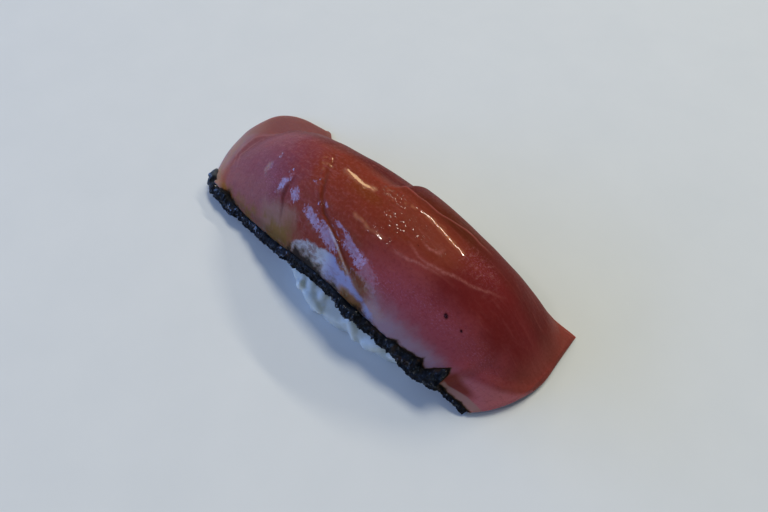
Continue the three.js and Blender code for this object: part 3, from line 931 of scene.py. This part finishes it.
class Graph:
    """Short calls for a material's nodes, and the colour that its layers build up."""

    def __init__(self, name):
        self.material = bpy.data.materials.new(name)
        self.material.use_nodes = True
        self.nodes = self.material.node_tree.nodes
        self.links = self.material.node_tree.links
        self.shader = self.nodes["Principled BSDF"]
        self.colour = None

    def wire(self, value, socket):
        """Feed an input from a socket, a constant or, given its name, a mesh attribute."""
        if isinstance(value, str):
            value = self.attribute(value)
        if hasattr(value, "links"):
            self.links.new(value, socket)
        else:
            socket.default_value = value

    def add(self, kind, values=None, **settings):
        node = self.nodes.new(kind)
        for key, value in settings.items():
            setattr(node, key, value)
        for key, value in (values or {}).items():
            self.wire(value, node.inputs[key])
        return node

    def attribute(self, name, vector=False):
        node = self.add("ShaderNodeAttribute", attribute_name=name)
        return node.outputs["Vector" if vector else "Fac"]

    def position(self, scale=(1, 1, 1), source=None):
        if source is None:
            source = self.add("ShaderNodeTexCoord").outputs["Object"]
        return self.add("ShaderNodeMapping", {"Vector": source, "Scale": scale}).outputs["Vector"]

    def noise(self, vector, scale, detail=3.0, roughness=0.5, distortion=0.0):
        values = {"Vector": vector, "Scale": scale, "Detail": detail, "Roughness": roughness}
        values["Distortion"] = distortion
        return self.add("ShaderNodeTexNoise", values).outputs["Fac"]

    def jitter(self, *settings):
        """Noise that goes to both sides of zero."""
        return self.math("SUBTRACT", self.noise(*settings), 0.5)

    def cells(self, vector, scale):
        return self.add("ShaderNodeTexVoronoi", {"Vector": vector, "Scale": scale}).outputs["Distance"]

    def span(self, value, low, high, to_low=0.0, to_high=1.0):
        """From to_low where the value reaches low to to_high where it reaches high, smoothly."""
        values = {"Value": value, "From Min": low, "From Max": high, "To Min": to_low, "To Max": to_high}
        return self.add("ShaderNodeMapRange", values, interpolation_type="SMOOTHSTEP").outputs["Result"]

    def math(self, operation, a, b=0.0, clamp=False):
        return self.add("ShaderNodeMath", {0: a, 1: b}, operation=operation, use_clamp=clamp).outputs[0]

    def plus(self, a, b, times=None):
        """The sum of a and b, or of a and so many times b."""
        return self.math("ADD", a, b if times is None else self.product(b, times))

    def product(self, *factors):
        """All factors multiplied, where one in brackets is a span."""
        factors = [self.span(*one) if isinstance(one, tuple) else one for one in factors]
        total = factors[0]
        for factor in factors[1:]:
            total = self.math("MULTIPLY", total, factor)
        return total

    def blend(self, factor, a, b):
        values = {"Factor": factor, "A": a, "B": b}
        return self.add("ShaderNodeMix", values, data_type="RGBA").outputs["Result"]

    def layer(self, colour, *shares):
        """Lay a colour over what is there so far, by the product of the shares."""
        self.colour = self.blend(self.product(*shares), self.colour, shade(*colour))

    def bump(self, height, strength, distance, normal=None):
        values = {"Height": height, "Strength": strength, "Distance": distance}
        if normal is not None:
            values["Normal"] = normal
        return self.add("ShaderNodeBump", values).outputs["Normal"]

    def set(self, **values):
        for key, value in values.items():
            self.wire(value, self.shader.inputs[key.replace("_", " ")])


def shade(red, green, blue):
    """A colour given as display values from 0 to 255."""
    shares = [c / 255 for c in (red, green, blue)]
    linear = [c / 12.92 if c <= 0.04 else ((c + 0.055) / 1.055) ** 2.4 for c in shares]
    return (*linear, 1.0)


def flesh_tones(g, mm, along, across, grain, fibres):
    """Reds of the flesh: mauve on the left, brown glaze in the middle, wine red on the right, and painted
    shade darkening the far edge.
    """
    patches = g.jitter(mm, 0.14, 3.0, 0.55)
    loose_along = g.plus(along, patches, 16.0)
    loose_across = g.plus(across, patches, 7.0)
    g.colour = shade(112, 35, 35)
    g.layer((124, 50, 32), (loose_along, -18, -9), (loose_along, 23, 14))
    pool = g.product((along, -3, 1), (along, 6, 3), (across, -3, -1.4), (across, 0, -0.8))
    g.layer((118, 54, 16), pool, 0.7)
    g.layer((120, 62, 68), (loose_along, -8, -19))
    g.layer((156, 74, 80), (loose_across, -2, -9), (loose_along, 4, 16), 0.85)
    # Darker wine red and brown towards the far edge: painted shade of the far flank.
    g.layer((96, 34, 42), (across, 4.2, 6), (along, -12, -6), (along, 12, 6), 0.7)
    g.layer((78, 24, 16), (across, 2.2, 5.6, 0.0, 0.65))
    far = g.product((across, 3.6, 5.4), (across, 11, 7.5), (loose_along, 5, 12), (loose_along, 23, 15))
    g.layer((82, 32, 8), far, 0.8)
    g.layer((136, 70, 60), (along, 34, 41, 0.0, 0.6))
    g.layer((186, 110, 116), "below_fold", 0.8)
    g.layer((170, 96, 92), (fibres, 0.5, 0.75), 0.14)
    streaks = g.noise(g.position((0.5, 1.5, 1), mm), 1.1, 4.0, 0.7, 0.4)
    g.layer((160, 104, 106), (streaks, 0.5, 0.7), (along, 8, -10), 0.3)
    g.layer((112, 76, 80), (along, -27, -36, 0.0, 0.5))
    g.layer((140, 86, 78), (loose_across, -6, -10), (along, -12, -20), 0.6)
    mottle = g.noise(mm, 1.8, 4.0, 0.7)
    g.layer((168, 106, 104), (mottle, 0.5, 0.66), (along, 12, 0, 0.3, 1.0), 0.14)
    g.layer((84, 24, 26), (mottle, 0.5, 0.36), 0.2)
    g.layer((84, 16, 18), (grain, 0.4, 0.25), 0.2)


def flesh_near_skin(g, mm, along, across):
    """Amber, fat and scorching along the seared edge, with a painted lilac reflection on the fat."""
    ragged = g.product(g.jitter(mm, 0.55, 4.0), 2.4)
    to_skin = g.plus(across, ragged)
    g.layer((150, 136, 142), (to_skin, -9.5, -13.0), (along, 8, 14), (along, 34, 26), 0.7)
    amber_edge = g.plus(to_skin, g.span(along, -20, -8, 0.0, -0.9))
    amber = g.product((amber_edge, -11.0, -12.9), (along, -5, -9))
    blotches = g.span(g.noise(g.position((0.6, 1, 1), mm), 0.42, 3.0, 0.6), 0.4, 0.58, 0.25, 0.95)
    torn_along = g.plus(along, ragged, 2.5)
    beige = g.product((amber_edge, -9.4, -11.2), (torn_along, -4, -11), (along, -20, -15))
    g.layer((150, 124, 104), beige, 0.5)
    g.layer((118, 84, 36), amber, blotches)
    g.layer((62, 46, 22), (across, -12.3, -13.1), (along, -6, -10), 0.4)
    g.layer((120, 76, 42), (across, -10.2, -10.8), (along, 3, 6), (along, 14, 11), 0.8)
    # The fat: pale blue-white on the left and lilac to the right, the lilac a painted reflection of the blue
    # window light.
    pale = g.blend(g.span(along, 0, 5), shade(178, 186, 186), shade(130, 134, 170))
    veins = g.noise(g.position((0.5, 1.4, 1), mm), 1.0, 5.0, 0.65, 0.8)
    pale = g.blend(g.product((veins, 0.5, 0.36), 0.35), pale, shade(112, 92, 96))
    island = g.product((along, -5, -2), (along, 2.5, -0.5), (to_skin, -10.4, -11.4))
    island = g.product(island, (to_skin, -12.6, -11.9), (veins, 0.4, 0.55))
    pale = g.blend(g.product(island, 0.8), pale, shade(112, 80, 74))
    soot = g.product((g.noise(mm, 1.7, 2.0), 0.62, 0.68), (along, -1, -3))
    pale = g.blend(g.product(soot, 0.6), pale, shade(36, 38, 44))
    torn = g.jitter(g.position(), 800, 6.0, 0.72)
    fat = g.span(g.plus("fat", torn, 2.0), 0.25, 0.75)
    fat = g.product(fat, ("fat", 0.05, 0.7), (along, -9, -1, 0.45, 0.92))
    g.colour = g.blend(fat, g.colour, pale)
    near_edge = g.plus(across, ragged, 0.25)
    g.layer((120, 76, 30), (near_edge, -12.35, -12.85), (along, 6, 8), (along, 14, 12), 0.95)
    g.layer((116, 42, 22), (across, -10.2, -11.4), (along, 30.2, 31.4), (along, 38, 35), 0.85)
    strip_edge = g.plus(across, g.span(along, 31, 37, 0.0, -0.9))
    g.layer((160, 124, 114), (strip_edge, -12.5, -12.8), (along, 31, 32), 0.85)
    crumbs = g.jitter(g.position(), 650, 4.0, 0.6)
    scorch = g.plus("char", crumbs, 0.8)
    g.layer((88, 58, 24), (scorch, 0.4, 0.75), 0.85)
    g.layer((24, 17, 13), (scorch, 0.62, 0.85), 0.9)


def flesh_marks(g, mm, along, across):
    """Lines, spots and the thin left end, from the masks worked out on the mesh, with painted shade in the
    creases, a painted sheen on the rims and painted highlights on the crease lip, small dots and glaze
    ridges.
    """
    strokes = g.noise(g.position((2.2, 0.8, 1), mm), 1.0, 3.0, 0.7)
    stroked = g.product((along, 16, 19), (along, 27, 22), (across, -2, 1), (across, 6, 4))
    g.layer((170, 118, 114), stroked, (strokes, 0.5, 0.68), 0.25)
    septum = g.product("septum", (g.noise(mm, 1.9, 4.0, 0.7), 0.4, 0.6, 0.3, 0.75))
    g.layer((172, 108, 102), septum)
    g.layer((164, 92, 86), "flake", 0.45)
    # Painted shade darkening the creases.
    g.layer((88, 34, 18), "crease", 0.7)
    # Painted highlight on the crease's lifted lip.
    g.layer((190, 158, 130), "lip", 0.65)
    g.layer((34, 4, 8), ("spot", 0.2, 0.8))
    g.layer((134, 84, 80), "flap", 0.6)
    g.layer((176, 130, 124), "wrinkle", 0.25)
    # Pale rims: the thin edge's own paler tone and a painted sheen.
    g.layer((144, 122, 122), "thin_rim_and_sheen", 0.85)
    g.layer((156, 138, 130), "rim", (along, 0, -10), 0.4)
    fine = g.noise(g.position((0.9, 1.7, 1), mm), 3.0, 3.0, 0.7)
    # Faint pale specks: painted glints.
    g.layer((176, 110, 140), (fine, 0.52, 0.64), "glint_specks", 0.4)
    # Warm tint along the glaze ridges: a painted highlight where the lamps' streaks fall.
    g.layer((214, 140, 90), "ridge_and_painted_glint", 0.4)


def glaze_cover(g, mm):
    """Where the glaze lies thick, and the domes of its small drops."""
    ragged_edge = g.jitter(mm, 1.4, 6.0, 0.78)
    pooled = g.span(g.plus("wet", ragged_edge, 3.2), 0.42, 0.68)
    thickness = g.span(g.noise(mm, 1.6, 5.0, 0.7), 0.3, 0.7, 0.45, 0.95)
    holes = g.plus(g.noise(mm, 2.8, 4.0, 0.7), "wet", 0.4)
    thickness = g.product(thickness, (holes, 0.64, 0.74))
    cell = g.cells(mm, 1.5)
    present = g.span(g.plus("drops", g.noise(mm, 2.3, 1.0, 0.5)), 0.86, 0.92)
    dome = g.product(g.math("SUBTRACT", 1.0, g.product(cell, cell, 7.0), clamp=True), present)
    ridge_and_painted_glint = g.span("ridge_and_painted_glint", 0.1, 0.3)
    drops_and_ridges = g.math("MAXIMUM", g.span(dome, 0, 0.1), ridge_and_painted_glint)
    return g.math("MAXIMUM", g.product(pooled, thickness), drops_and_ridges), dome


def make_flesh_material():
    g = Graph("Glazed_flesh")
    mm = g.attribute("slice_mm", vector=True)
    split = g.add("ShaderNodeSeparateXYZ")
    g.links.new(mm, split.inputs[0])
    along, across = split.outputs["X"], split.outputs["Y"]
    fibres = g.noise(g.position((0.3, 1.6, 1), mm), 0.7, 5.0, 0.62, 0.6)
    grain = g.noise(mm, 2.2, 4.0, 0.6)
    flesh_tones(g, mm, along, across, grain, fibres)
    flesh_near_skin(g, mm, along, across)
    flesh_marks(g, mm, along, across)
    film, dome = glaze_cover(g, mm)
    ripple = g.bump(g.noise(mm, 2.0, 2.0, 0.5), 1.0, 0.000012)
    beads = g.bump(dome, 1.0, 0.00004, ripple)
    fine = g.bump(g.plus(g.product(fibres, 0.7), grain, 0.3), 1.0, 0.00006)
    g.set(Base_Color=g.colour, Roughness=g.span(grain, 0.3, 0.7, 0.42, 0.55), Normal=fine, Coat_Normal=beads)
    g.set(Subsurface_Weight=0.4, Subsurface_Radius=(1.0, 0.2, 0.16), Subsurface_Scale=0.0025)
    g.set(Specular_IOR_Level=0.06, IOR=1.38)
    g.set(Coat_Weight=g.span(film, 0, 1, 0.004, 1.0), Coat_Roughness=0.035, Coat_IOR=1.6)
    return g.material


def make_skin_material():
    g = Graph("Charred_skin")
    coords = g.position()
    patches = g.noise(coords, 300, 4.0, 0.6)
    grit = g.noise(coords, 1700, 5.0, 0.7)
    g.colour = g.blend(g.span(patches, 0.35, 0.65), shade(1, 2, 5), shade(8, 14, 24))
    # Lighter blue-grey specks: painted glints of the window light on the char.
    g.layer((56, 70, 84), (grit, 0.55, 0.66), 0.6)
    g.layer((64, 42, 22), (g.noise(coords, 420, 3.0), 0.56, 0.7), ("height", 0.6, 0.95), 0.5)
    g.layer((74, 82, 90), "flap", 0.85)
    normal = g.bump(g.plus(g.product(grit, 0.8), patches, 0.6), 1.0, 0.0003)
    g.set(Base_Color=g.colour, Roughness=g.span(patches, 0.3, 0.7, 0.5, 0.75), Normal=normal)
    facets = g.span(g.noise(coords, 1200, 3.0, 0.6), 0.54, 0.62)
    glints = g.product(facets, (patches, 0.42, 0.6, 0.25, 1.0))
    g.set(Specular_IOR_Level=0.12, Coat_Weight=glints, Coat_Roughness=0.16)
    return g.material


def make_rice_material():
    g = Graph("Cooked_rice")
    coords = g.position()
    cloud = g.noise(coords, 420, 3.0, 0.55)
    g.colour = g.blend(g.span(cloud, 0.35, 0.7), shade(173, 180, 173), shade(194, 199, 192))
    g.layer((169, 177, 170), "tint", 0.4)
    normal = g.bump(g.noise(coords, 1600, 3.0, 0.6), 0.3, 0.00012)
    g.set(Base_Color=g.colour, Roughness=g.span(cloud, 0.3, 0.7, 0.42, 0.55), Normal=normal)
    g.set(Subsurface_Weight=0.7, Subsurface_Radius=(1.0, 0.95, 0.8), Subsurface_Scale=0.004)
    wet = g.span(g.noise(coords, 900, 3.0, 0.6), 0.56, 0.66, 0.04, 0.4)
    g.set(Specular_IOR_Level=0.25, Coat_Weight=wet, Coat_Roughness=0.15)
    return g.material


def make_floor_material():
    g = Graph("Pale_table")
    cloud = g.noise(g.position(), 60, 4.0, 0.6)
    g.colour = g.blend(cloud, shade(206, 213, 214), shade(214, 220, 220))
    g.set(Base_Color=g.colour, Roughness=0.85, Specular_IOR_Level=0.2)
    return g.material


# Stage


def make_floor():
    bpy.ops.mesh.primitive_plane_add(size=2)
    floor = bpy.context.object
    floor.name = "Table"
    floor.data.materials.append(make_floor_material())
    floor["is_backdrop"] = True


def looked_at():
    """The point of the table at the photograph's centre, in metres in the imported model's frame."""
    a = math.radians(CAMERA_AZIMUTH)
    dx, dy = -SLICE_IN_VIEW[0], -SLICE_IN_VIEW[1]
    x = math.cos(a) * dx - math.sin(a) * dy
    y = math.sin(a) * dx + math.cos(a) * dy
    return Vector(((x + OFFSET[0]) * MM, (y + OFFSET[1]) * MM, 0))


def looking_on(name, data, azimuth, elevation, distance):
    """A camera or light that looks at that point from these angles in degrees."""
    a, e = math.radians(azimuth), math.radians(elevation)
    away = Vector((math.sin(a) * math.cos(e), -math.cos(a) * math.cos(e), math.sin(e)))
    thing = bpy.data.objects.new(name, data)
    thing.location = looked_at() + away * distance
    thing.rotation_euler = (looked_at() - thing.location).to_track_quat("-Z", "Y").to_euler()
    bpy.context.scene.collection.objects.link(thing)
    return thing


def make_camera():
    data = bpy.data.cameras.new("View")
    data.sensor_width = 36
    data.lens = FOCAL_PIXELS / IMAGE_WIDTH * data.sensor_width
    data.clip_start = 0.005
    camera = looking_on("View", data, CAMERA_AZIMUTH, CAMERA_ELEVATION, CAMERA_DISTANCE * MM)
    bpy.context.scene.camera = camera


def make_light(name, azimuth, elevation, width, height, power, colour):
    """An area light seen from the nigiri at these angles, all in degrees, width and height too."""
    data = bpy.data.lights.new(name, "AREA")
    data.shape = "RECTANGLE"
    data.size = LIGHT_DISTANCE * 2 * math.tan(math.radians(width / 2))
    data.size_y = LIGHT_DISTANCE * 2 * math.tan(math.radians(height / 2))
    data.energy = power
    data.color = colour
    looking_on(name, data, azimuth, elevation, LIGHT_DISTANCE)


def make_lights():
    make_light("Ceiling", 186, 64, 20, 14, 11.0, (1.0, 0.93, 0.80))
    make_light("Lamp_row", 181, 40.5, 26, 1.7, 5.4, (1.0, 0.88, 0.72))
    make_light("Side_lamp", 237, 37, 6, 17, 1.5, (1.0, 0.74, 0.40))
    make_light("Front_lamp", -25, 55, 4, 4, 1.4, (1.0, 0.92, 0.85))
    make_light("Window", -54, 15, 66, 29, 22.0, (0.20, 0.39, 1.0))
    make_light("Window_end", -12, 15, 18, 29, 2.4, (0.30, 0.38, 0.85))
    world = bpy.data.worlds.new("Room")
    world.use_nodes = True
    background = world.node_tree.nodes["Background"]
    background.inputs["Color"].default_value = (0.72, 0.88, 1.0, 1)
    background.inputs["Strength"].default_value = 0.17
    bpy.context.scene.world = world


def assemble():
    flesh = make_flesh(make_flesh_material())
    skin = make_skin(make_skin_material())
    rice = make_rice(make_rice_material())
    for piece, name in ((flesh, "raw_flesh"), (skin, "raw_flesh"), (rice, "cooked_rice")):
        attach(piece, "root")
    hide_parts("bonito_slice")
    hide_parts("rice")


def write_sizes():
    boxes = {"cad": CAD_BOUNDS, "visual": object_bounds()}
    lists = {key: [list(corner) for corner in box] for key, box in boxes.items()}


assemble()
make_floor()
make_lights()
make_camera()
bpy.context.scene.view_settings.view_transform = "Standard"
write_sizes()
